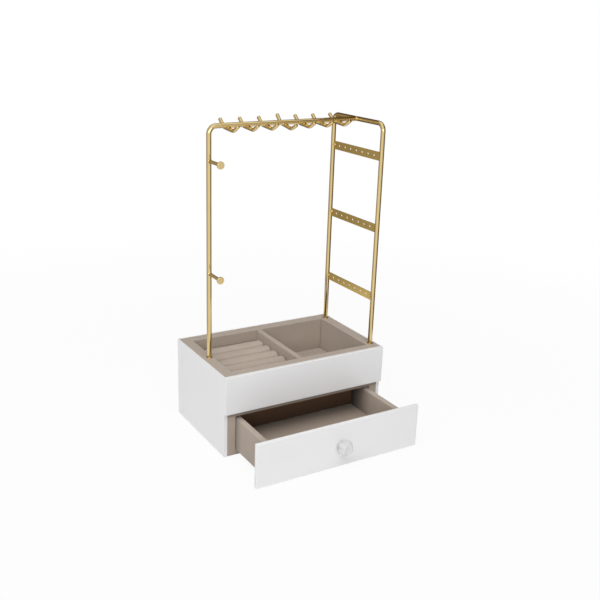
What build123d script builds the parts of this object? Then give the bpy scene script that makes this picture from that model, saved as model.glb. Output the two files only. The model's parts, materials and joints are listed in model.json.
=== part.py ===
from build123d import *
import os
from math import cos, pi, radians, sin

os.makedirs("parts", exist_ok=True)

# Sizes are in millimetres. X runs left to right, Y from the front to the back, Z up.
# The origin is the centre of the felt underside.

# Case
case_width = 250.0
case_depth = 157.0
case_height = 117.0
felt_thickness = 1.0
felt_inset = 4.0
shell_thickness = 5.0
base_thickness = 7.0
opening_height = 49.5
shelf_thickness = 9.0
side_wall_thickness = 12.0
front_wall_thickness = 13.5
back_wall_thickness = 12.0
shelf_reveal = 6.3
panel_edge_radius = 0.6
velvet_edge_radius = 1.2
wrapped_corner_radius = 1.4

# Tray in the top of the case
rim_plate_thickness = 2.0
rim_lip = 1.6
rim_edge_radius = 0.8
divider_thickness = 8.0
divider_offset = -1.5
divider_drop = 0.5
divider_edge_radius = 2.0
tray_pad_thickness = 2.5
pad_clearance = 0.3
pad_corner_radius = 3.0

# Ring rolls
roll_pitch = 22.0
roll_gap = 0.4
roll_crest_depth = 11.5
roll_flat = 0.6
roll_end_radius = 2.5

# Jewellery frame
rod_diameter = 6.5
rod_depth = 22.0
rod_clearance = 0.05
rod_hole_clearance = 0.1
frame_height = 432.75
bend_radius = 10.0
rail_setback = 6.3
rail_offset = -4.3
rail_end_offset = 3.5
rail_fall = 1.5
loop_setback = 4.5
loop_offset = 1.5
loop_width = 119.6
collar_diameter = 8.2
collar_height = 0.8

# Necklace hooks under the rail
hook_count = 7
first_hook_gap = 18.2
last_hook_gap = 26.75
hook_wire = 4.8
hook_reach = 26.5
hook_rise = 8.4
hook_low_reach = 14.5
hook_bend_radius = 14.0
hook_seat = 0.7
hook_end_radius = 0.9
hook_lean = 4.0
middle_hook_lean = 9.0

# Pegs on the left post
peg_drops = {"upper_peg": 44.9, "lower_peg": 193.1}
peg_diameter = 4.4
peg_length = 30.0
peg_cap_diameter = 9.8
peg_cap_thickness = 2.2
peg_cap_radius = 0.5

# Perforated earring strips in the right loop
strip_count = 3
strip_height = 11.8
strip_thickness = 1.0
strip_drop = 43.8
strip_rise = 70.3
strip_hole_count = 7
strip_hole_pitch = 14.2
strip_hole_diameter = 3.2

# Drawer
drawer_open = 86.95
drawer_closed_gap = 0.3
drawer_front_gap = 0.6
drawer_front_floor_gap = 2.0
drawer_side_clearance = 1.0
drawer_floor_clearance = 0.3
drawer_top_clearance = 2.5
drawer_back_space = 23.5
drawer_side_thickness = 8.5
drawer_back_thickness = 7.0
drawer_inner_front_thickness = 6.0
drawer_edge_radius = 2.4
drawer_panel_thickness = 3.0
drawer_panel_height = 5.7
drawer_groove_depth = 3.0
drawer_groove_clearance = 0.1
drawer_pad_thickness = 2.5

# Knob
knob_facets = 12
knob_neck_diameter = 13.0
knob_diameter = 22.0
knob_front_diameter = 13.0
knob_length = 18.0
knob_belly_start = 7.5
knob_belly_end = 10.5
insert_diameter = 6.5
insert_length = 9.0
screw_diameter = 4.0
screw_clearance = 0.2
screw_head_diameter = 7.6
screw_head_height = 2.4
screw_engagement = 7.0
screw_slot_width = 1.0
screw_slot_depth = 1.1
washer_diameter = 10.0
washer_thickness = 0.8

# Planes worked out from the sizes above
half_width = case_width / 2
case_front = -case_depth / 2
case_back = case_depth / 2
body_front = case_front + shell_thickness
body_back = case_back - shell_thickness
body_side = half_width - shell_thickness
bay_side = body_side - side_wall_thickness
base_top = felt_thickness + base_thickness
shelf_bottom = base_top + opening_height
shelf_top = shelf_bottom + shelf_thickness
rim_bottom = case_height - rim_plate_thickness
fascia_bottom = shelf_bottom + shelf_reveal
tray_front = body_front + front_wall_thickness
tray_back = body_back - back_wall_thickness
divider_left = divider_offset - divider_thickness / 2
divider_right = divider_offset + divider_thickness / 2

rod_radius = rod_diameter / 2
rod_foot = rim_bottom - rod_depth
bar_height = frame_height - rod_radius
rail_x = -(body_side - rail_setback)
loop_x = body_side - loop_setback
loop_back = loop_offset + loop_width / 2
loop_front = loop_offset - loop_width / 2
rod_places = [(rail_x, rail_offset), (loop_x, loop_back), (loop_x, loop_front)]

nodes = {}


def block(xs, ys, zs):
    """A board between two planes on each axis."""
    spans = [sorted(span) for span in (xs, ys, zs)]
    middle = [(low + high) / 2 for low, high in spans]
    size = [high - low for low, high in spans]
    return Pos(*middle) * Box(*size)


def upright(x, y, radius, z_low, z_high):
    """A round bar or hole standing along Z."""
    return Pos(x, y, (z_low + z_high) / 2) * Cylinder(radius, z_high - z_low)


def along_y(x, z, radius, y_low, y_high):
    """A round bar or hole lying along Y."""
    lying = Rot(90, 0, 0) * Cylinder(radius, y_high - y_low)
    return Pos(x, (y_low + y_high) / 2, z) * lying


def swept_rod(points, bend, radius):
    """A round rod along straight runs joined by tangent bends."""
    path = FilletPolyline(*points, radius=bend)
    section = Plane(origin=path @ 0, z_dir=path % 0) * Circle(radius)
    return sweep(section, path=path)


def rail_point(x):
    """The Y and Z of the sloping rail's centre line at one X."""
    share = (x - rail_x) / (loop_x - rail_x)
    y = rail_offset + share * (rail_end_offset - rail_offset)
    return y, bar_height - rail_fall * (1 - share)


def top_edges(board, axis):
    """The highest edges of a board that run along one axis."""
    return board.edges().filter_by(axis).group_by(Axis.Z)[-1]


def case_shell():
    """The white outer boards: two sides, the back and the upper front."""
    for name, side in (("side_panel_left", -1), ("side_panel_right", 1)):
        panel = block(
            (side * half_width, side * body_side),
            (body_front, case_back),
            (felt_thickness, case_height),
        )
        panel -= block(
            (side * (half_width - rim_lip), side * body_side),
            (body_front, case_back - rim_lip),
            (rim_bottom, case_height),
        )
        outer_edges = panel.faces().sort_by(Axis.X)[0 if side < 0 else -1].edges()
        nodes[name] = fillet(outer_edges, panel_edge_radius)
    back = block(
        (-body_side, body_side), (body_back, case_back), (felt_thickness, case_height)
    )
    back -= block(
        (-body_side, body_side), (body_back, case_back - rim_lip), (rim_bottom, case_height)
    )
    nodes["back_panel"] = back
    fascia = block(
        (-half_width, half_width), (case_front, body_front), (fascia_bottom, case_height)
    )
    nodes["front_fascia"] = fillet(
        fascia.faces().sort_by(Axis.Y)[0].edges(), panel_edge_radius
    )


def case_inside():
    """The velvet-wrapped boards round the drawer bay, the shelf above it and the felt below."""
    nodes["base_felt"] = block(
        (-half_width + felt_inset, half_width - felt_inset),
        (body_front + felt_inset, case_back - felt_inset),
        (0, felt_thickness),
    )
    base = block((-body_side, body_side), (body_front, body_back), (felt_thickness, base_top))
    nodes["base_panel"] = base
    for name, side in (("guide_wall_left", -1), ("guide_wall_right", 1)):
        nodes[name] = block(
            (side * bay_side, side * body_side),
            (body_front, body_back),
            (base_top, shelf_bottom),
        )
    nodes["tray_shelf"] = block(
        (-body_side, body_side), (body_front, body_back), (shelf_bottom, shelf_top)
    )


def tray_walls():
    """Four boards that stand on the shelf, round the tray. The rods stand in bores in the side ones."""
    for name, side in (("tray_wall_left", -1), ("tray_wall_right", 1)):
        wall = block(
            (side * bay_side, side * body_side),
            (body_front, body_back),
            (shelf_top, rim_bottom),
        )
        for x, y in rod_places:
            if x * side > 0:
                wall -= upright(x, y, rod_radius + rod_clearance, rod_foot, rim_bottom)
        nodes[name] = wall
    spans = {"tray_wall_front": (body_front, tray_front), "tray_wall_back": (tray_back, body_back)}
    for name, span in spans.items():
        wall = block((-bay_side, bay_side), span, (shelf_top, rim_bottom))
        nodes[name] = fillet(wall.edges().filter_by(Axis.Z), wrapped_corner_radius)


def rim_frame():
    """The velvet-covered plate that caps the walls and leaves a thin white lip round it."""
    plate = block(
        (-half_width + rim_lip, half_width - rim_lip),
        (body_front, case_back - rim_lip),
        (rim_bottom, case_height),
    )
    plate -= block((-bay_side, bay_side), (tray_front, tray_back), (rim_bottom, case_height))
    top = plate.faces().sort_by(Axis.Z)[-1]
    plate = fillet(top.edges(), rim_edge_radius)
    for x, y in rod_places:
        plate -= upright(
            x, y, rod_radius + rod_hole_clearance, rim_bottom, case_height
        )
    nodes["rim_frame"] = plate


def tray_fittings():
    """The divider, the pad in the deep compartment and the bed under the ring rolls."""
    divider = block(
        (divider_left, divider_right), (tray_front, tray_back), (shelf_top, case_height - divider_drop)
    )
    divider = fillet(divider.edges().filter_by(Axis.Z), wrapped_corner_radius)
    nodes["tray_divider"] = fillet(top_edges(divider, Axis.Y), divider_edge_radius)
    pad = block(
        (divider_right + pad_clearance, bay_side - pad_clearance),
        (tray_front + pad_clearance, tray_back - pad_clearance),
        (shelf_top, shelf_top + tray_pad_thickness),
    )
    pad = fillet(pad.edges().filter_by(Axis.Z), pad_corner_radius)
    nodes["tray_pad"] = fillet(pad.faces().sort_by(Axis.Z)[-1].edges(), velvet_edge_radius)


def ring_rolls():
    """Foam rolls that lie side by side on a bed. Each is round on top and pressed flat below."""
    diameter = roll_pitch - roll_gap
    crest = case_height - roll_crest_depth
    axis_height = crest - diameter / 2
    bed_top = axis_height - diameter / 2 + roll_flat
    x_low = -bay_side + pad_clearance
    x_high = divider_left - pad_clearance
    nodes["ring_bed"] = block(
        (x_low, x_high),
        (tray_front + pad_clearance, tray_back - pad_clearance),
        (shelf_top, bed_top),
    )
    count = int((tray_back - tray_front) // roll_pitch)
    middle = (tray_front + tray_back) / 2
    for i in range(count):
        y = middle + (i - (count - 1) / 2) * roll_pitch
        lying = Rot(0, 90, 0) * Cylinder(diameter / 2, x_high - x_low)
        roll = Pos((x_low + x_high) / 2, y, axis_height) * lying
        roll = fillet(roll.edges().filter_by(GeomType.CIRCLE), roll_end_radius)
        below = block((x_low, x_high), (y - diameter, y + diameter), (bed_top - diameter, bed_top))
        nodes[f"ring_roll_{i + 1}"] = roll - below


def frame_rods():
    """The bent rail with its left post, the inverted U at the right and the collars at the feet."""
    loop = swept_rod(
        [
            (loop_x, loop_back, rod_foot),
            (loop_x, loop_back, bar_height),
            (loop_x, loop_front, bar_height),
            (loop_x, loop_front, rod_foot),
        ],
        bend_radius,
        rod_radius,
    )
    rail = swept_rod(
        [
            (rail_x, rail_offset, rod_foot),
            (rail_x, *rail_point(rail_x)),
            (loop_x, *rail_point(loop_x)),
        ],
        bend_radius,
        rod_radius,
    )
    rail -= along_y(loop_x, bar_height, rod_radius, loop_front, loop_back)
    nodes["side_loop"] = loop
    nodes["hook_rail"] = rail
    collar_top = case_height + collar_height
    for name, (x, y) in zip(("rail_collar", "loop_collar_back", "loop_collar_front"), rod_places):
        collar = upright(x, y, collar_diameter / 2, case_height, collar_top)
        collar = fillet(collar.edges().group_by(Axis.Z)[-1], collar_height / 2)
        nodes[name] = collar - upright(x, y, rod_radius + rod_clearance, case_height, collar_top)


def necklace_hook(x, lean):
    """A double hook: a wire with both ends bent up, seated under the rail by its middle."""
    y, z = rail_point(x)
    low = -(rod_radius + hook_wire / 2 - hook_seat)
    profile = [
        (-hook_reach, low + hook_rise),
        (-hook_low_reach, low),
        (hook_low_reach, low),
        (hook_reach, low + hook_rise),
    ]
    turn = radians(lean)
    points = [
        (x, y + u * cos(turn) - v * sin(turn), z + u * sin(turn) + v * cos(turn))
        for u, v in profile
    ]
    hook = swept_rod(points, hook_bend_radius, hook_wire / 2)
    ends = hook.edges().filter_by(GeomType.CIRCLE).sort_by(Axis.Y)
    hook = fillet([ends[0], ends[-1]], hook_end_radius)
    along_rail = Vector(loop_x, *rail_point(loop_x)) - Vector(rail_x, *rail_point(rail_x))
    return hook - Plane(origin=(x, y, z), z_dir=along_rail) * Cylinder(rod_radius, 3 * hook_wire)


def necklace_hooks():
    """A row of double hooks. The middle one leans forward a little more than the others."""
    first = rail_x + bend_radius + first_hook_gap
    last = loop_x - rod_radius - last_hook_gap
    for i in range(hook_count):
        x = first + (last - first) * i / (hook_count - 1)
        lean = middle_hook_lean if i == hook_count // 2 else hook_lean
        nodes[f"hook_{i + 1}"] = necklace_hook(x, lean)


def pegs():
    """Two pegs on the left post, each a short rod that points forward with a disc on its end."""
    post = upright(rail_x, rail_offset, rod_radius, rod_foot, bar_height)
    cap_back = rail_offset - rod_radius - peg_length
    for name, drop in peg_drops.items():
        z = bar_height - drop
        rod = along_y(rail_x, z, peg_diameter / 2, cap_back, rail_offset)
        nodes[name] = rod - post
        cap = along_y(rail_x, z, peg_cap_diameter / 2, cap_back - peg_cap_thickness, cap_back)
        nodes[name + "_cap"] = fillet(cap.edges().filter_by(GeomType.CIRCLE), peg_cap_radius)


def earring_strips():
    """Flat strips with a row of holes, held between the two posts of the loop."""
    posts = upright(loop_x, loop_back, rod_radius, rod_foot, bar_height)
    posts += upright(loop_x, loop_front, rod_radius, rod_foot, bar_height)
    first = bar_height - strip_drop
    last = case_height + strip_rise
    for i in range(strip_count):
        z = first + (last - first) * i / (strip_count - 1)
        strip = block(
            (loop_x - strip_thickness / 2, loop_x + strip_thickness / 2),
            (loop_front, loop_back),
            (z - strip_height / 2, z + strip_height / 2),
        )
        strip -= posts
        for k in range(strip_hole_count):
            y = loop_offset + (k - (strip_hole_count - 1) / 2) * strip_hole_pitch
            drill = Rot(0, 90, 0) * Cylinder(strip_hole_diameter / 2, strip_thickness)
            strip -= Pos(loop_x, y, z) * drill
        nodes[f"earring_strip_{i + 1}"] = strip


def drawer_box():
    """The velvet-wrapped drawer box, its white front and its floor, drawn closed."""
    front_back = body_front - drawer_closed_gap
    box_front = front_back
    box_back = body_back - drawer_back_space
    box_side = bay_side - drawer_side_clearance
    inner_side = box_side - drawer_side_thickness
    box_bottom = base_top + drawer_floor_clearance
    box_top = shelf_bottom - drawer_top_clearance
    inner_front = box_front + drawer_inner_front_thickness
    inner_back = box_back - drawer_back_thickness
    panel_bottom = box_bottom + drawer_panel_height
    panel_top = panel_bottom + drawer_panel_thickness
    slack = drawer_groove_clearance
    groove = block(
        (-inner_side - drawer_groove_depth, inner_side + drawer_groove_depth),
        (inner_front - drawer_groove_depth, inner_back + drawer_groove_depth),
        (panel_bottom - slack, panel_top + slack),
    )
    front = block(
        (-half_width, half_width),
        (front_back - shell_thickness, front_back),
        (drawer_front_floor_gap, fascia_bottom - drawer_front_gap),
    )
    front = fillet(front.faces().sort_by(Axis.Y)[0].edges(), panel_edge_radius)
    boards = {}
    for name, side in (("drawer_side_left", -1), ("drawer_side_right", 1)):
        board = block((side * inner_side, side * box_side), (box_front, box_back), (box_bottom, box_top))
        boards[name] = fillet(top_edges(board, Axis.Y), drawer_edge_radius) - groove
    board = block((-inner_side, inner_side), (inner_back, box_back), (box_bottom, box_top))
    boards["drawer_back"] = fillet(top_edges(board, Axis.X), drawer_edge_radius) - groove
    board = block((-inner_side, inner_side), (box_front, inner_front), (box_bottom, box_top))
    inner_board = fillet(top_edges(board, Axis.X), drawer_edge_radius) - groove
    boards["drawer_bottom"] = block(
        (-inner_side - drawer_groove_depth + slack, inner_side + drawer_groove_depth - slack),
        (inner_front - drawer_groove_depth + slack, inner_back + drawer_groove_depth - slack),
        (panel_bottom, panel_top),
    )
    pad = block(
        (-inner_side + pad_clearance, inner_side - pad_clearance),
        (inner_front + pad_clearance, inner_back - pad_clearance),
        (panel_top, panel_top + drawer_pad_thickness),
    )
    boards["drawer_pad"] = fillet(pad.faces().sort_by(Axis.Z)[-1].edges(), velvet_edge_radius)
    knob_z = (drawer_front_floor_gap + fascia_bottom - drawer_front_gap) / 2
    front_face = front_back - shell_thickness
    bolt_hole = along_y(
        0, knob_z, screw_diameter / 2 + screw_clearance, front_face, inner_front
    )
    boards["drawer_front"] = front - bolt_hole
    boards["drawer_inner_front"] = inner_board - bolt_hole
    boards.update(knob(knob_z, front_face, inner_front))
    for name, board in boards.items():
        nodes[name] = Pos(0, -drawer_open, 0) * board


def faceted_body(rings, facets):
    """A closed body of flat facets. Each ring of points is turned half a step from the one before."""
    points = []
    for k, (radius, y) in enumerate(rings):
        angles = [(i + k / 2) * 2 * pi / facets for i in range(facets)]
        points.append([Vector(radius * cos(a), y, radius * sin(a)) for a in angles])
    faces = [Face(Wire.make_polygon(points[0], close=True)), Face(Wire.make_polygon(points[-1], close=True))]
    for near, far in zip(points, points[1:]):
        for i in range(facets):
            j = (i + 1) % facets
            faces.append(Face(Wire.make_polygon([near[i], near[j], far[i]], close=True)))
            faces.append(Face(Wire.make_polygon([near[j], far[j], far[i]], close=True)))
    return Solid(Shell(faces))


def knob(z, front_face, inner_front):
    """The cut crystal knob, its threaded insert and the screw through the two front boards."""
    rings = [
        (knob_neck_diameter / 2, 0),
        (knob_diameter / 2, -knob_belly_start),
        (knob_diameter / 2, -knob_belly_end),
        (knob_front_diameter / 2, -knob_length),
    ]
    crystal = Pos(0, front_face, z) * faceted_body(rings, knob_facets)
    insert = along_y(0, z, insert_diameter / 2, front_face - insert_length, front_face)
    thread = along_y(0, z, screw_diameter / 2 + rod_clearance, front_face - insert_length, front_face)
    washer_face = inner_front + washer_thickness
    shank = along_y(0, z, screw_diameter / 2, front_face - screw_engagement, washer_face)
    head_face = washer_face + screw_head_height
    head = along_y(0, z, screw_head_diameter / 2, washer_face, head_face)
    head = fillet(head.faces().sort_by(Axis.Y)[-1].edges(), screw_head_height / 3)
    slot = block(
        (-screw_head_diameter / 2, screw_head_diameter / 2),
        (head_face - screw_slot_depth, head_face),
        (z - screw_slot_width / 2, z + screw_slot_width / 2),
    )
    washer = along_y(0, z, washer_diameter / 2, inner_front, washer_face)
    hole = along_y(0, z, screw_diameter / 2 + screw_clearance, inner_front, washer_face)
    return {
        "knob_crystal": crystal - insert,
        "knob_insert": insert - thread,
        "knob_screw": shank + (head - slot),
        "knob_washer": washer - hole,
    }


def main():
    """Makes every piece and writes each to its own file."""
    case_shell()
    case_inside()
    tray_walls()
    rim_frame()
    tray_fittings()
    ring_rolls()
    frame_rods()
    necklace_hooks()
    pegs()
    earring_strips()
    drawer_box()
    for name, shape in nodes.items():
        export_step(shape, f"parts/{name}.step")


main()
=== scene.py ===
import json
from math import cos, pi, radians, sin

import bpy
import numpy as np
from mathutils import Matrix, Vector


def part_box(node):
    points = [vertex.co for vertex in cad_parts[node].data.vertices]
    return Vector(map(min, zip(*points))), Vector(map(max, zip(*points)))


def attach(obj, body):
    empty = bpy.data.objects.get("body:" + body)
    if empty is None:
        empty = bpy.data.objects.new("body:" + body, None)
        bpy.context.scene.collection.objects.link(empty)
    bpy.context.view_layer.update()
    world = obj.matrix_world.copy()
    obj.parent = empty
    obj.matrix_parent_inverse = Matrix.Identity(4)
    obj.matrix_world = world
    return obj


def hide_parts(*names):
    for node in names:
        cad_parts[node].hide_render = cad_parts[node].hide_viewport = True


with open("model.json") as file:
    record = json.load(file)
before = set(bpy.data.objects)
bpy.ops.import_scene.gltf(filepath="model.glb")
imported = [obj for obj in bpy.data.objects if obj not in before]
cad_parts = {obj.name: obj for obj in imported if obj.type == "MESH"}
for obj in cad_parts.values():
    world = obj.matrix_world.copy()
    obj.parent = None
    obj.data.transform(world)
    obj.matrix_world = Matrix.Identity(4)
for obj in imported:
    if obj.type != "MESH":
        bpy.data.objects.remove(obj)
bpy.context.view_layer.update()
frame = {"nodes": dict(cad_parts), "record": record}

MM = 0.001
WHITE = (1, 1, 1, 1)

# The camera of the photograph, fitted to the box's edges and to the rods. Angles are in
# degrees, the distance and the target in metres, the lens and the sensor in millimetres.
CAMERA_AZIMUTH = -31.406
CAMERA_ELEVATION = 18.656
CAMERA_ROLL = 1.953
CAMERA_DISTANCE = 1.1126
CAMERA_TARGET = (-0.01413, -0.07319, 0.20633)
CAMERA_LENS = 50.551
SENSOR_WIDTH = 36.0
CLIP_NEAR = 0.05
CLIP_FAR = 20

# The dome's strength overhead and at its rim, and the heights on a unit sphere between
# which it changes.
DOME_TOP = 0.3
DOME_RIM = 0.2
DOME_FADE = (0.3, 0.8)

# The floor, in metres. The camera sees this share of it as white near the middle, and all
# of it beyond the second distance.
FLOOR_RADIUS = 3.0
FLOOR_SIDES = 96
FLOOR_COLOUR = (0.7, 0.7, 0.7, 1)
FLOOR_WHITE = 0.93
FLOOR_FADE = (0.35, 1.3)

# Each lamp has its place, its two sides in metres and its power in watts.
LAMPS = {
    "key": ((-0.8, -1.2, 2.4), (2.2, 2.2), 44.0),
    "left": ((-1.9, -0.2, 1.5), (1.4, 1.4), 12.8),
    "right": ((1.6, -0.3, 1.8), (1.4, 1.4), 3.0),
    "back": ((0.3, 1.6, 1.8), (1.6, 1.2), 3.0),
    "low_front": ((-0.8, -2.35, 0.9), (2.0, 0.6), 17.5),
}
LAMP_AIM = (0.0, 0.0, 0.15)

# A painted reflection: a glowing dark screen behind the set, which only polished surfaces
# mirror. It is an arc in metres, carried up from just over the floor.
SCREEN_RADIUS = 0.48
SCREEN_BOTTOM = 0.002
SCREEN_HEIGHT = 1.05
SCREEN_COLUMNS = 81
SCREEN_COLOUR = (0.16, 0.11, 0.05)
# How dark the painted reflection is, from 0 (white) to 1, at each direction in degrees from +X.
SCREEN_SHADE = (
    (-88.0, 0.0),
    (-55.0, 0.6),
    (-35.0, 1.0),
    (85.0, 1.0),
    (118.0, 0.66),
    (165.0, 0.5),
    (215.0, 0.0),
)

# How many ring rolls, hooks and earring strips there are.
ROLLS = 5
HOOKS = 7
STRIPS = 3

# The ring rolls' covers, in millimetres. The crown is added to the CAD's roll at the top,
# the fullness is the power of the section's superellipse, which is 2 for a circle, and the
# side is half the cover's width.
ROLL_CROWN = 0.25
ROLL_FULLNESS = 2.2
ROLL_SIDE = 10.92
ROLL_END_RADIUS = 3.2
ROLL_END_DOME = 0.25
ROLL_SIDES = 120
# The rings of each end's face and shoulder, and the first face ring's share of the radius.
ROLL_FACE_RINGS = 6
ROLL_SHOULDER_RINGS = 10
ROLL_FIRST_RING = 0.05
# Between the ends the rings stand a step apart, clear of each end by at least this.
ROLL_STEP = 2.5
ROLL_CLEAR_LOW = 2.0
ROLL_CLEAR_HIGH = 1.0
# Two waves run along each roll. Each has its height, its length per radian and the turn in
# radians by which it differs from roll to roll.
ROLL_SWELL = (0.10, 9.3, 2.1)
ROLL_PUCKER = (0.07, 3.9, 1.3)

# The pads' covers, in millimetres. The crown rises over its reach from the top's edge,
# which is a quarter circle that leaves at least some straight side under it.
PAD_CROWN = 0.7
PAD_CROWN_REACH = 5.0
PAD_EDGE = 1.6
PAD_LEAST_SIDE = 0.5
# The underside is smaller than the side by the undercut, which ends at the foot's height.
PAD_UNDERCUT = 0.3
PAD_FOOT = 0.4
# The waves' height, their lengths per radian along X and Y, and their start in radians.
PAD_WAVE = 0.12
PAD_WAVE_LENGTHS = (11.0, 9.5)
PAD_WAVE_START = 1.2
# The radii of the corners seen from above.
LEAST_CORNER = 0.6
TRAY_PAD_CORNER = 3.0
DRAWER_PAD_CORNER = 1.5
# The points of a corner and of a straight side, the rings of the rounded edge, and the
# sizes of the rings on the underside and on the top as shares of the largest.
CORNER_POINTS = 12
STRAIGHT_POINTS = 24
PAD_EDGE_RINGS = 9
PAD_UNDER_RINGS = (0.04, 0.5, 1.0)
PAD_TOP_RINGS = np.linspace(0.97, 0.04, 30)

# The rail's two ends, and the radii of its rod and of the hooks' wire, in millimetres.
RAIL_LEFT = (-113.7, -4.3, 428.0)
RAIL_RIGHT = (115.5, 3.5, 429.5)
ROD_RADIUS = 3.25
HOOK_WIRE_RADIUS = 2.4

# The drops of weld metal: their three radii, and how far each centre is from the point where
# the pieces meet, all in millimetres along X, Y and Z.
HOOK_DROP = ((HOOK_WIRE_RADIUS + 0.9, 2.4, 1.1), (0.0, 0.0, 0.1))
RAIL_DROP = ((2.2, 3.9, 3.4), (-2.6, 0.0, 0.4))
STRIP_BACK_DROP = ((1.5, 2.0, 2.2), (-0.7, -1.6, 1.0))
STRIP_FRONT_DROP = ((1.2, 1.0, 2.6), (-0.2, 0.6, 0.0))
PEG_DROP_DEPTH = 1.1
PEG_DROP_MARGIN = 0.8
PEG_DROP_SHIFT = (0.0, -0.6, 0.0)
# The ripple is a share of the radii. The first ring is this many radians from the pole.
DROP_RIPPLE = 0.04
DROP_RINGS = 15
DROP_SIDES = 28
DROP_POLE = 0.06

# Nearly all of a noise's values lie between these two.
NOISE_SPAN = (0.3, 0.7)
# The sockets of a Mix node that mixes colours.
MIX_SHARE, MIX_FIRST, MIX_SECOND, MIX_RESULT = 0, 6, 7, 2


def linear(red, green, blue):
    """An sRGB colour in 0 to 255, as the linear colour that a shader reads."""
    def channel(value):
        value /= 255
        return value / 12.92 if value <= 0.04045 else ((value + 0.055) / 1.055) ** 2.4
    return (channel(red), channel(green), channel(blue), 1.0)


def tint(colour, share):
    """The colour made lighter (share over 1) or darker (share under 1)."""
    return tuple(min(1.0, c * share) for c in colour[:3]) + (1.0,)


def remap(tree, value, from_ends, to_ends, smooth=False):
    """Takes a value from one range to another and holds it at the new range's ends."""
    node = tree.nodes.new("ShaderNodeMapRange")
    if smooth:
        node.interpolation_type = "SMOOTHSTEP"
    node.inputs["From Min"].default_value, node.inputs["From Max"].default_value = from_ends
    node.inputs["To Min"].default_value, node.inputs["To Max"].default_value = to_ends
    tree.links.new(value, node.inputs["Value"])
    return node.outputs["Result"]


def mix(tree, share, first, second, how="MIX"):
    """Mixes two colours by a share from 0 to 1. Each of the three is a value or a socket."""
    node = tree.nodes.new("ShaderNodeMix")
    node.data_type = "RGBA"
    node.blend_type = how
    for socket, value in ((MIX_SHARE, share), (MIX_FIRST, first), (MIX_SECOND, second)):
        if isinstance(value, (int, float, tuple)):
            node.inputs[socket].default_value = value
        else:
            tree.links.new(value, node.inputs[socket])
    return node.outputs[MIX_RESULT]


class Finish:
    """One material: its Principled shader and short calls that add the nodes it needs."""

    def __init__(self, name, **sockets):
        self.material = bpy.data.materials.new(name)
        self.material.use_nodes = True
        self.tree = self.material.node_tree
        self.shader = self.tree.nodes["Principled BSDF"]
        self.place = self.tree.nodes.new("ShaderNodeTexCoord").outputs["Object"]
        for socket, value in sockets.items():
            self.shader.inputs[socket.replace("_", " ")].default_value = value

    def stretched(self, scale):
        """Object coordinates, longer along some axes so that a pattern runs with the grain."""
        mapping = self.tree.nodes.new("ShaderNodeMapping")
        mapping.inputs["Scale"].default_value = scale
        self.tree.links.new(self.place, mapping.inputs["Vector"])
        return mapping.outputs["Vector"]

    def noise(self, per_metre, detail=2.0, roughness=0.5, place=None):
        """Soft random values with this many blobs in a metre."""
        node = self.tree.nodes.new("ShaderNodeTexNoise")
        node.inputs["Scale"].default_value = per_metre
        node.inputs["Detail"].default_value = detail
        node.inputs["Roughness"].default_value = roughness
        self.tree.links.new(place or self.place, node.inputs["Vector"])
        return node.outputs["Fac"]

    def between(self, value, low, high):
        """Takes a noise value to the range from low to high."""
        return remap(self.tree, value, NOISE_SPAN, (low, high))

    def blend(self, share, first, second):
        """Mixes two colours by a share from 0 to 1."""
        return mix(self.tree, share, first, second)

    def painted_shade_fall(self, colour, axis, dark_at, full_at, share):
        """Painted shade: the colour, which falls to a share of itself from one place on an axis
        to another.
        """
        split = self.tree.nodes.new("ShaderNodeSeparateXYZ")
        self.tree.links.new(self.place, split.inputs[0])
        fall = remap(self.tree, split.outputs[axis], (dark_at, full_at), (share, 1.0))
        return mix(self.tree, 1.0, colour, fall, "MULTIPLY")

    def colour(self, output):
        self.tree.links.new(output, self.shader.inputs["Base Color"])

    def roughness(self, output):
        self.tree.links.new(output, self.shader.inputs["Roughness"])

    def bump(self, height, depth_mm):
        """Raises the surface by the height, which goes from 0 to 1, times a depth in mm."""
        node = self.tree.nodes.new("ShaderNodeBump")
        node.inputs["Distance"].default_value = depth_mm * MM
        self.tree.links.new(height, node.inputs["Height"])
        normal = self.shader.inputs["Normal"]
        if normal.links:
            self.tree.links.new(normal.links[0].from_socket, node.inputs["Normal"])
        self.tree.links.new(node.outputs["Normal"], normal)


def white_lacquer():
    """Sprayed white lacquer on fibreboard: a low gloss with a hardly visible sprayed ripple."""
    finish = Finish("white_lacquer", Roughness=0.3, Coat_Weight=0.2, Coat_Roughness=0.15)
    white = linear(235, 235, 236)
    cloud = finish.between(finish.noise(per_metre=9), 0, 1)
    finish.colour(finish.blend(cloud, tint(white, 0.994), white))
    finish.roughness(finish.between(finish.noise(per_metre=35), 0.28, 0.32))
    finish.bump(finish.noise(per_metre=260, detail=1), depth_mm=0.0015)
    return finish.material


def velvet(name, colour, pile=1.0, painted_shade=None):
    """Short-pile velvet: soft sheen, brushed patches, and a fine grain of fibre tips.

    Where given, the last argument holds the axis, darkest place, fullest place and share of a
    painted shade that darkens the colour along that axis, through the Finish method that paints
    the fall.
    """
    finish = Finish(
        name,
        Roughness=0.95,
        Specular_IOR_Level=0.15,
        Sheen_Weight=0.45,
        Sheen_Roughness=0.35,
        Sheen_Tint=(1.0, 0.97, 0.94, 1.0),
    )
    patches = finish.between(finish.noise(per_metre=30, detail=3, roughness=0.55), 0, 1)
    brushed = finish.blend(patches, tint(colour, 0.94), tint(colour, 1.06))
    tips = finish.between(finish.noise(per_metre=1900, detail=2, roughness=0.6), 0, 1)
    grain = finish.blend(tips, tint(colour, 0.82), tint(colour, 1.18))
    pile_colour = finish.blend(0.5, brushed, grain)
    # Painted shade: where given, the colour darkens from one place on an axis to another.
    finish.colour(finish.painted_shade_fall(pile_colour, *painted_shade) if painted_shade else pile_colour)
    fibres = finish.noise(per_metre=1300, detail=3, roughness=0.65)
    finish.bump(fibres, depth_mm=0.10 * pile)
    finish.bump(finish.noise(per_metre=110), depth_mm=0.14 * pile)
    return finish.material


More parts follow.
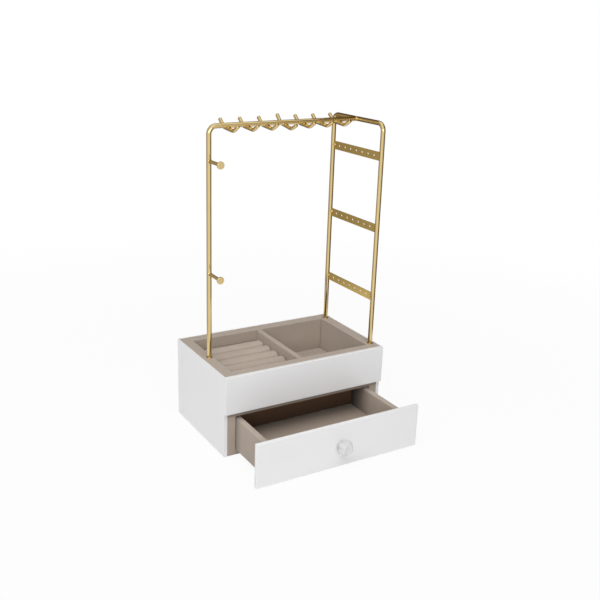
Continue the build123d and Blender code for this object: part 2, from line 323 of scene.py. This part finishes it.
def satin_gold(name, colour, roughness):
    """Champagne gold plating under lacquer, with a satin polish and a faintly uneven gloss."""
    finish = Finish(
        name,
        Metallic=1.0,
        Specular_Tint=(0.45, 0.36, 0.24, 1.0),
        Coat_Weight=0.25,
        Coat_Roughness=0.12,
    )
    cloud = finish.between(finish.noise(per_metre=40), 0, 1)
    finish.colour(finish.blend(cloud, tint(colour, 0.96), tint(colour, 1.03)))
    uneven = finish.noise(per_metre=60)
    finish.roughness(finish.between(uneven, roughness - 0.02, roughness + 0.02))
    return finish.material


def cut_crystal():
    """Clear cut crystal with a softly polished face, so it is nearly white on white."""
    finish = Finish(
        "cut_crystal",
        Base_Color=(0.86, 0.86, 0.86, 1),
        Roughness=0.15,
        IOR=1.12,
        Transmission_Weight=0.45,
    )
    finish.bump(finish.noise(per_metre=90, detail=1), depth_mm=0.004)
    return finish.material


def white_nylon():
    """Moulded nylon with a fine matte grain."""
    finish = Finish("white_nylon", Roughness=0.5)
    white = linear(236, 236, 234)
    cloud = finish.between(finish.noise(per_metre=400, detail=3), 0, 1)
    finish.colour(finish.blend(cloud, tint(white, 0.97), white))
    finish.bump(finish.noise(per_metre=1800), depth_mm=0.01)
    return finish.material


def machined_metal(name, colour, roughness):
    """A small turned part: fine tool marks and a dull plated surface."""
    finish = Finish(name, Metallic=1.0)
    cloud = finish.between(finish.noise(per_metre=300, detail=3), 0, 1)
    finish.colour(finish.blend(cloud, tint(colour, 0.85), colour))
    uneven = finish.noise(per_metre=900)
    finish.roughness(finish.between(uneven, roughness - 0.06, roughness + 0.08))
    marks = finish.noise(per_metre=2500, place=finish.stretched((1, 0.1, 1)))
    finish.bump(marks, depth_mm=0.008)
    return finish.material


def base_felt(colour):
    """Pressed felt: matted fibres with no nap."""
    finish = Finish("base_felt", Roughness=1.0, Specular_IOR_Level=0.1, Sheen_Weight=0.2)
    fibres = finish.between(finish.noise(per_metre=900, detail=6, roughness=0.75), 0, 1)
    finish.colour(finish.blend(fibres, tint(colour, 0.8), tint(colour, 1.15)))
    finish.bump(finish.noise(per_metre=700, detail=6, roughness=0.75), depth_mm=0.25)
    return finish.material


VELVET = linear(172, 159, 147)
LINING = linear(167, 152, 138)
# The darker lining below is painted shade for the drawer's back board, which the case shades.
LINING_PAINTED_SHADE = linear(100, 77, 60)
ROD_GOLD = (0.74, 0.57, 0.27, 1.0)
STRIP_GOLD = (0.765, 0.565, 0.195, 1.0)
ZINC = (0.62, 0.63, 0.64, 1.0)

# Painted shade: the velvet inside the drawer is painted darker towards its back, which the
# case shades. Each share is what is left of the colour there. The pad's fall takes this part
# of its depth, and the sides' this many metres. The back board's fall goes from its top to its
# foot.
PAD_SHARE_LEFT = 0.40
PAD_FALL = 0.42
SIDE_SHARE_LEFT = 0.07
SIDE_FALL = 0.046
BACK_SHARE_LEFT = 0.45

drawer_low, drawer_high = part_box("drawer_back")
drawer_back_y = drawer_low[1]
pad_front_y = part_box("drawer_pad")[0][1]
pad_full_y = drawer_back_y + PAD_FALL * (pad_front_y - drawer_back_y)
PAD_PAINTED_SHADE = ("Y", drawer_back_y, pad_full_y, PAD_SHARE_LEFT)
SIDE_PAINTED_SHADE = ("Y", drawer_back_y, drawer_back_y - SIDE_FALL, SIDE_SHARE_LEFT)
BACK_PAINTED_SHADE = ("Z", drawer_low[2], drawer_high[2], BACK_SHARE_LEFT)

finishes = {
    "white_lacquer": white_lacquer(),
    "velvet_board": velvet("velvet_board", VELVET),
    "velvet_foam": velvet("velvet_foam", tint(VELVET, 1.04), pile=1.3),
    # Painted shade: the shelf's velvet is coloured darker, as the fascia shades its front.
    "shelf_velvet_painted_shade": velvet("shelf_velvet_painted_shade", tint(VELVET, 0.72)),
    # The drawer's velvets below carry painted shade that darkens towards the drawer's back.
    "drawer_lining": velvet("drawer_lining", LINING, painted_shade=PAD_PAINTED_SHADE),
    "drawer_side": velvet("drawer_side", VELVET, painted_shade=SIDE_PAINTED_SHADE),
    "back_lining_painted_shade": velvet("back_lining_painted_shade", LINING_PAINTED_SHADE, painted_shade=BACK_PAINTED_SHADE),
    "base_felt": base_felt(VELVET),
    "gold_rod": satin_gold("gold_rod", ROD_GOLD, roughness=0.10),
    "gold_strip": satin_gold("gold_strip", STRIP_GOLD, roughness=0.25),
    "crystal": cut_crystal(),
    "white_nylon": white_nylon(),
    "zinc_steel": machined_metal("zinc_steel", ZINC, roughness=0.35),
}

# The boards with a velvet of their own, which carries painted shade: darker on the shelf
# under the fascia, and darker towards the drawer's back. All other nodes have their slot's
# finish.
LINED = {
    "tray_shelf": "shelf_velvet_painted_shade",
    "drawer_back": "back_lining_painted_shade",
    "drawer_bottom": "drawer_lining",
    "drawer_inner_front": "drawer_lining",
    "drawer_side_left": "drawer_side",
    "drawer_side_right": "drawer_side",
}

for part in frame["record"]["subparts"]:
    node = frame["nodes"][part["node"]]
    node.data.materials.clear()
    node.data.materials.append(finishes[LINED.get(part["node"], part["material_slot"])])


def signed_volume(corners):
    """Six times the volume inside some quads, which is under 0 where they face inwards."""
    first, second, third, fourth = corners.swapaxes(0, 1)
    turned = np.cross(second, third) + np.cross(third, fourth)
    return np.einsum("ij,ij->i", first, turned).sum()


def skin(name, rings, slot, body):
    """A closed, smooth skin over a stack of rings.

    rings is an array (rings, points, 3) in millimetres. Neighbouring rings are joined by
    quads, and each end is closed by a fan of triangles to the end ring's mean point.
    """
    count, around = rings.shape[:2]
    ends = np.stack([rings[0].mean(axis=0), rings[-1].mean(axis=0)])
    points = np.concatenate([rings.reshape(-1, 3), ends]) * MM
    row = np.arange(count - 1)[:, None] * around
    here = np.arange(around)[None, :]
    there = (here + 1) % around
    quads = np.stack(
        [row + here, row + there, row + around + there, row + around + here], axis=-1
    ).reshape(-1, 4)
    first, last = here[0], here[0] + (count - 1) * around
    near_point = np.full(around, count * around)
    far_point = near_point + 1
    near = np.stack([near_point, there[0], first], axis=-1)
    far = np.stack([far_point, last, there[0] + (count - 1) * around], axis=-1)
    if signed_volume(points[quads]) < 0:
        quads, near, far = quads[:, ::-1], near[:, ::-1], far[:, ::-1]
    mesh = bpy.data.meshes.new(name)
    mesh.from_pydata(points.tolist(), [], quads.tolist() + near.tolist() + far.tolist())
    mesh.polygons.foreach_set("use_smooth", np.ones(len(mesh.polygons), dtype=bool))
    mesh.materials.append(finishes[slot])
    piece = bpy.data.objects.new(name, mesh)
    bpy.context.scene.collection.objects.link(piece)
    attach(piece, body)
    return piece


def box_mm(node):
    """A node's lowest and highest corners, in millimetres."""
    low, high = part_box(node)
    return np.array(low) / MM, np.array(high) / MM


def roll_end(radius):
    """A roll's end: distances in from its face, and the share of the radius at each.

    A shallow dome covers the face, and a quarter circle leads from it to the full radius.
    """
    face = np.linspace(ROLL_FIRST_RING, 1, ROLL_FACE_RINGS)
    turn = np.linspace(0, pi / 2, ROLL_SHOULDER_RINGS)[1:]
    core = radius - ROLL_END_RADIUS
    dome = ROLL_END_DOME * face ** 2
    shoulder = ROLL_END_DOME + ROLL_END_RADIUS * (1 - np.cos(turn))
    widths = np.concatenate([core * face, core + ROLL_END_RADIUS * np.sin(turn)])
    return np.concatenate([dome, shoulder]), widths / radius


def fuller(values):
    """Sines or cosines of a circle, taken to those of the rolls' superellipse."""
    return np.sign(values) * np.abs(values) ** (2 / ROLL_FULLNESS)


def ring_roll(number):
    """A foam roll under velvet.

    The section is a superellipse, a little fuller than a circle, cut flat where the roll is
    pressed on its bed. Its radius follows the length: from a shallow dome on each end, round
    a quarter circle, to the full radius, which swells and sinks by a fraction of a millimetre
    in slow waves, as stuffed fabric does.
    """
    node = f"ring_roll_{number}"
    low, high = box_mm(node)
    middle_y = (low[1] + high[1]) / 2
    radius = (high[1] - low[1]) / 2
    axis_z = high[2] - radius
    inset, scale = roll_end(radius)
    body_low = low[0] + inset[-1] + ROLL_CLEAR_LOW
    body_high = high[0] - inset[-1] - ROLL_CLEAR_HIGH
    body_x = np.arange(body_low, body_high, ROLL_STEP)
    x = np.concatenate([low[0] + inset, body_x, high[0] - inset[::-1]])
    scale = np.concatenate([scale, np.ones(len(body_x)), scale[::-1]])[:, None]
    angle = np.arange(ROLL_SIDES) * 2 * pi / ROLL_SIDES
    along, round_ = np.meshgrid(x, angle, indexing="ij")
    side, rise = fuller(np.cos(round_)), fuller(np.sin(round_))
    height, length, step = ROLL_SWELL
    wave = height * np.sin(along / length + step * number)
    height, length, step = ROLL_PUCKER
    wave = wave + height * np.sin(along / length + step * number + 2 * round_)
    y = middle_y + side * ROLL_SIDE * scale
    z = axis_z + rise * (radius + ROLL_CROWN + wave * np.clip(rise, 0, 1)) * scale
    z = np.maximum(z, low[2])
    piece = skin(f"{node}_cover", np.stack([along, y, z], axis=-1), "velvet_foam", "case")
    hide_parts(node)


def rounded_outline(half_x, half_y, radius):
    """A rounded rectangle about the origin: four straight sides joined by quarter circles."""
    arc = np.linspace(0, pi / 2, CORNER_POINTS)
    steps = np.linspace(1, -1, STRAIGHT_POINTS + 2)[1:-1]
    flat_x, flat_y = half_x - radius, half_y - radius
    parts = []
    for turn, (sx, sy) in enumerate(((1, 1), (-1, 1), (-1, -1), (1, -1))):
        angle = arc + turn * pi / 2
        x = sx * flat_x + radius * np.cos(angle)
        y = sy * flat_y + radius * np.sin(angle)
        parts.append(np.stack([x, y], axis=-1))
        if turn % 2 == 0:
            x, y = sx * flat_x * steps, np.full(len(steps), sy * half_y)
        else:
            x, y = np.full(len(steps), sx * half_x), sy * flat_y * steps
        parts.append(np.stack([x, y], axis=-1))
    return np.concatenate(parts)


def at_height(outline, z):
    """A flat outline, lifted to one height or to a height at each point."""
    return np.column_stack([outline, np.full(len(outline), z) if np.isscalar(z) else z])


def flat_pad(node, corner_radius, body, finish):
    """A thin pad: foam board under velvet.

    Rings run from the middle of the underside out to the edge, up the side, round a quarter
    circle and in to the middle of the top. The top rises from its edge as 1 - exp(-distance),
    with slow shallow waves.
    """
    low, high = box_mm(node)
    middle = (low + high) / 2
    half = (high - low) / 2
    under = rounded_outline(
        half[0] - PAD_UNDERCUT, half[1] - PAD_UNDERCUT, corner_radius - PAD_UNDERCUT
    )
    rings = [at_height(under * share, low[2]) for share in PAD_UNDER_RINGS]
    rings.append(at_height(rounded_outline(half[0], half[1], corner_radius), low[2] + PAD_FOOT))
    edge = min(PAD_EDGE, high[2] - low[2] - PAD_LEAST_SIDE)
    for turn in np.linspace(0, pi / 2, PAD_EDGE_RINGS):
        inset = edge * (1 - cos(turn))
        corner = max(corner_radius - inset, LEAST_CORNER)
        outline = rounded_outline(half[0] - inset, half[1] - inset, corner)
        rings.append(at_height(outline, high[2] - edge + edge * sin(turn)))
    top = rings[-1][:, :2]
    length_x, length_y = PAD_WAVE_LENGTHS
    for share in PAD_TOP_RINGS:
        flat = top * share
        x, y = flat.T
        gap = np.minimum(half[0] - edge - np.abs(x), half[1] - edge - np.abs(y))
        wave = PAD_WAVE * np.sin(x / length_x + PAD_WAVE_START) * np.sin(y / length_y)
        rise = (PAD_CROWN + wave) * (1 - np.exp(-gap / PAD_CROWN_REACH))
        rings.append(at_height(flat, high[2] + rise))
    rings = np.stack(rings) + np.array([middle[0], middle[1], 0])
    piece = skin(f"{node}_cover", rings, "velvet_foam", body)
    piece.data.materials[0] = finishes[finish]
    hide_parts(node)


def weld_drop(name, meeting, radii, shift):
    """A drop of weld metal: an ellipsoid whose radius ripples by a few hundredths."""
    centre = np.array(meeting) + np.array(shift)
    polar = np.linspace(DROP_POLE, pi - DROP_POLE, DROP_RINGS)[:, None]
    around = (np.arange(DROP_SIDES) * 2 * pi / DROP_SIDES)[None, :]
    ripple = 1 + DROP_RIPPLE * np.sin(3 * around + centre[2]) * np.sin(2 * polar)
    unit = np.stack([
        ripple * np.sin(polar) * np.cos(around),
        ripple * np.sin(polar) * np.sin(around),
        ripple * np.cos(polar) * np.ones_like(around),
    ], axis=-1)
    skin(name, unit * np.array(radii) + centre, "gold_rod", "case")


def weld_drops():
    """The drops of metal where hooks, pegs, strips and the rail's end meet the rods."""
    left, right = np.array(RAIL_LEFT), np.array(RAIL_RIGHT)
    for number in range(1, HOOKS + 1):
        low, high = box_mm(f"hook_{number}")
        x = (low[0] + high[0]) / 2
        on_rail = left + (right - left) * (x - left[0]) / (right[0] - left[0])
        under_rail = (x, on_rail[1], on_rail[2] - ROD_RADIUS)
        weld_drop(f"hook_weld_{number}", under_rail, *HOOK_DROP)
    low, high = box_mm("side_loop")
    loop_x = (low[0] + high[0]) / 2
    weld_drop("rail_weld", (loop_x, right[1], right[2]), *RAIL_DROP)
    for name in ("upper_peg", "lower_peg"):
        low, high = box_mm(name)
        middle = (low + high) / 2
        root = ((high - low) / 2)[0] + PEG_DROP_MARGIN
        radii = (root, PEG_DROP_DEPTH, root)
        weld_drop(f"{name}_weld", (middle[0], high[1], middle[2]), radii, PEG_DROP_SHIFT)
    for number in range(1, STRIPS + 1):
        low, high = box_mm(f"earring_strip_{number}")
        middle = (low + high) / 2
        back_end = (middle[0], high[1], middle[2])
        front_end = (middle[0], low[1], middle[2])
        weld_drop(f"strip_weld_back_{number}", back_end, *STRIP_BACK_DROP)
        weld_drop(f"strip_weld_front_{number}", front_end, *STRIP_FRONT_DROP)


def light_path(tree, *names):
    """One where a ray is of any of the named kinds, and zero elsewhere."""
    node = tree.nodes.new("ShaderNodeLightPath")
    total = node.outputs[names[0]]
    for name in names[1:]:
        largest = tree.nodes.new("ShaderNodeMath")
        largest.operation = "MAXIMUM"
        tree.links.new(total, largest.inputs[0])
        tree.links.new(node.outputs[name], largest.inputs[1])
        total = largest.outputs[0]
    return total


def seen_rays(tree):
    """One where a ray comes from the camera, a mirror or clear glass."""
    return light_path(tree, "Is Camera Ray", "Is Glossy Ray", "Is Transmission Ray")


def either_shader(tree, share, first, second, out):
    """Mixes two shaders by a share and joins the result to the output node's surface."""
    either = tree.nodes.new("ShaderNodeMixShader")
    tree.links.new(share, either.inputs[0])
    tree.links.new(first.outputs[0], either.inputs[1])
    tree.links.new(second.outputs[0], either.inputs[2])
    tree.links.new(either.outputs[0], out.inputs["Surface"])


def sky():
    """A soft studio dome. The camera, metal and glass see a white backdrop in its place."""
    world = bpy.data.worlds.new("studio")
    bpy.context.scene.world = world
    world.use_nodes = True
    tree = world.node_tree
    tree.nodes.clear()
    dome = tree.nodes.new("ShaderNodeBackground")
    dome.inputs["Color"].default_value = WHITE
    direction = tree.nodes.new("ShaderNodeTexCoord")
    split = tree.nodes.new("ShaderNodeSeparateXYZ")
    tree.links.new(direction.outputs["Generated"], split.inputs[0])
    grade = remap(tree, split.outputs["Z"], DOME_FADE, (DOME_RIM, DOME_TOP), smooth=True)
    tree.links.new(grade, dome.inputs["Strength"])
    backdrop = tree.nodes.new("ShaderNodeBackground")
    backdrop.inputs["Color"].default_value = WHITE
    out = tree.nodes.new("ShaderNodeOutputWorld")
    either_shader(tree, seen_rays(tree), dome, backdrop, out)


def softbox(name, place, size, watts):
    """A rectangular lamp that faces the set."""
    lamp = bpy.data.lights.new(name, "AREA")
    lamp.shape = "RECTANGLE"
    lamp.size, lamp.size_y = size
    lamp.energy = watts
    obj = bpy.data.objects.new(name, lamp)
    # The rods mirror the white backdrop in place of the strongest lamp.
    obj.visible_glossy = name != "key"
    bpy.context.scene.collection.objects.link(obj)
    place = Vector(place)
    turn = (Vector(LAMP_AIM) - place).to_track_quat("-Z", "Y")
    obj.matrix_world = Matrix.Translation(place) @ turn.to_matrix().to_4x4()


def bare_material(name):
    """A material with an empty node tree."""
    material = bpy.data.materials.new(name)
    material.use_nodes = True
    material.node_tree.nodes.clear()
    return material


def floor_finish():
    """A matte grey that the camera sees mostly as white, with the object's shadow kept.

    White takes over with distance from the middle, so the disc's edge never shows.
    """
    material = bare_material("floor")
    tree = material.node_tree
    matte = tree.nodes.new("ShaderNodeBsdfDiffuse")
    matte.inputs["Color"].default_value = FLOOR_COLOUR
    glow = tree.nodes.new("ShaderNodeEmission")
    glow.inputs["Color"].default_value = WHITE
    place = tree.nodes.new("ShaderNodeTexCoord")
    length = tree.nodes.new("ShaderNodeVectorMath")
    length.operation = "LENGTH"
    tree.links.new(place.outputs["Object"], length.inputs[0])
    whiteness = remap(
        tree, length.outputs["Value"], FLOOR_FADE, (FLOOR_WHITE, 1.0), smooth=True
    )
    share = tree.nodes.new("ShaderNodeMath")
    share.operation = "MULTIPLY"
    tree.links.new(seen_rays(tree), share.inputs[0])
    tree.links.new(whiteness, share.inputs[1])
    out = tree.nodes.new("ShaderNodeOutputMaterial")
    either_shader(tree, share.outputs[0], matte, glow, out)
    return material


def floor():
    """A plain pale disc under the box."""
    angle = np.arange(FLOOR_SIDES) * 2 * pi / FLOOR_SIDES
    rim = np.stack([FLOOR_RADIUS * np.cos(angle), FLOOR_RADIUS * np.sin(angle)], 1)
    points = np.column_stack([rim, np.zeros(FLOOR_SIDES)])
    mesh = bpy.data.meshes.new("floor")
    mesh.from_pydata(points.tolist(), [], [list(range(FLOOR_SIDES))])
    mesh.materials.append(floor_finish())
    disc = bpy.data.objects.new("floor", mesh)
    bpy.context.scene.collection.objects.link(disc)


def screen_finish():
    """A glow for the painted reflection, which goes from white to the screen's colour with the
    mesh's own shade.
    """
    material = bare_material("painted_reflection_screen")
    tree = material.node_tree
    read = tree.nodes.new("ShaderNodeAttribute")
    read.attribute_name = "shade"
    glow = tree.nodes.new("ShaderNodeEmission")
    out = tree.nodes.new("ShaderNodeOutputMaterial")
    colour = mix(tree, read.outputs["Fac"], WHITE, SCREEN_COLOUR + (1.0,))
    tree.links.new(colour, glow.inputs["Color"])
    tree.links.new(glow.outputs[0], out.inputs["Surface"])
    return material


def painted_reflection_screen():
    """A painted reflection: a curved dark screen behind the set, glowing and seen only in
    polished metal.

    The wall is an arc carried up from the floor. Its strips fade to white at both ends.
    """
    turns, shades = np.array(SCREEN_SHADE).T
    degrees = np.linspace(turns[0], turns[-1], SCREEN_COLUMNS)
    angle = np.radians(degrees)
    ring = np.stack([SCREEN_RADIUS * np.cos(angle), SCREEN_RADIUS * np.sin(angle)], axis=-1)
    low = at_height(ring, SCREEN_BOTTOM)
    high = at_height(ring, SCREEN_HEIGHT)
    left = np.arange(SCREEN_COLUMNS - 1)
    quads = np.stack(
        [left, left + 1, left + 1 + SCREEN_COLUMNS, left + SCREEN_COLUMNS], axis=-1
    )
    mesh = bpy.data.meshes.new("painted_reflection_screen")
    mesh.from_pydata(np.concatenate([low, high]).tolist(), [], quads.tolist())
    shade = mesh.attributes.new("shade", "FLOAT", "POINT")
    shade.data.foreach_set("value", np.tile(np.interp(degrees, turns, shades), 2))
    mesh.materials.append(screen_finish())
    screen = bpy.data.objects.new("painted_reflection_screen", mesh)
    bpy.context.scene.collection.objects.link(screen)
    screen.visible_camera = False
    screen.visible_diffuse = False
    screen.visible_transmission = False
    screen.visible_shadow = False


def camera():
    """Looks at the target from the fitted direction, then rolls about its own axis."""
    azimuth, elevation = radians(CAMERA_AZIMUTH), radians(CAMERA_ELEVATION)
    level = cos(elevation)
    back = Vector((sin(azimuth) * level, -cos(azimuth) * level, sin(elevation)))
    right = Vector((0, 0, 1)).cross(back).normalized()
    up = back.cross(right)
    roll = radians(CAMERA_ROLL)
    rolled_right = right * cos(roll) + up * sin(roll)
    rolled_up = up * cos(roll) - right * sin(roll)
    place = Vector(CAMERA_TARGET) + back * CAMERA_DISTANCE
    axes = Matrix((rolled_right, rolled_up, back)).transposed().to_4x4()
    data = bpy.data.cameras.new("camera")
    data.sensor_width = SENSOR_WIDTH
    data.lens = CAMERA_LENS
    data.clip_start, data.clip_end = CLIP_NEAR, CLIP_FAR
    obj = bpy.data.objects.new("camera", data)
    obj.matrix_world = Matrix.Translation(place) @ axes
    bpy.context.scene.collection.objects.link(obj)
    bpy.context.scene.camera = obj


camera()
for number in range(1, ROLLS + 1):
    ring_roll(number)
flat_pad("tray_pad", TRAY_PAD_CORNER, "case", "velvet_foam")
flat_pad("drawer_pad", DRAWER_PAD_CORNER, "drawer", "drawer_lining")
weld_drops()

sky()
floor()
painted_reflection_screen()
for name, (place, size, watts) in LAMPS.items():
    softbox(name, place, size, watts)

bpy.context.scene.view_settings.view_transform = "Standard"
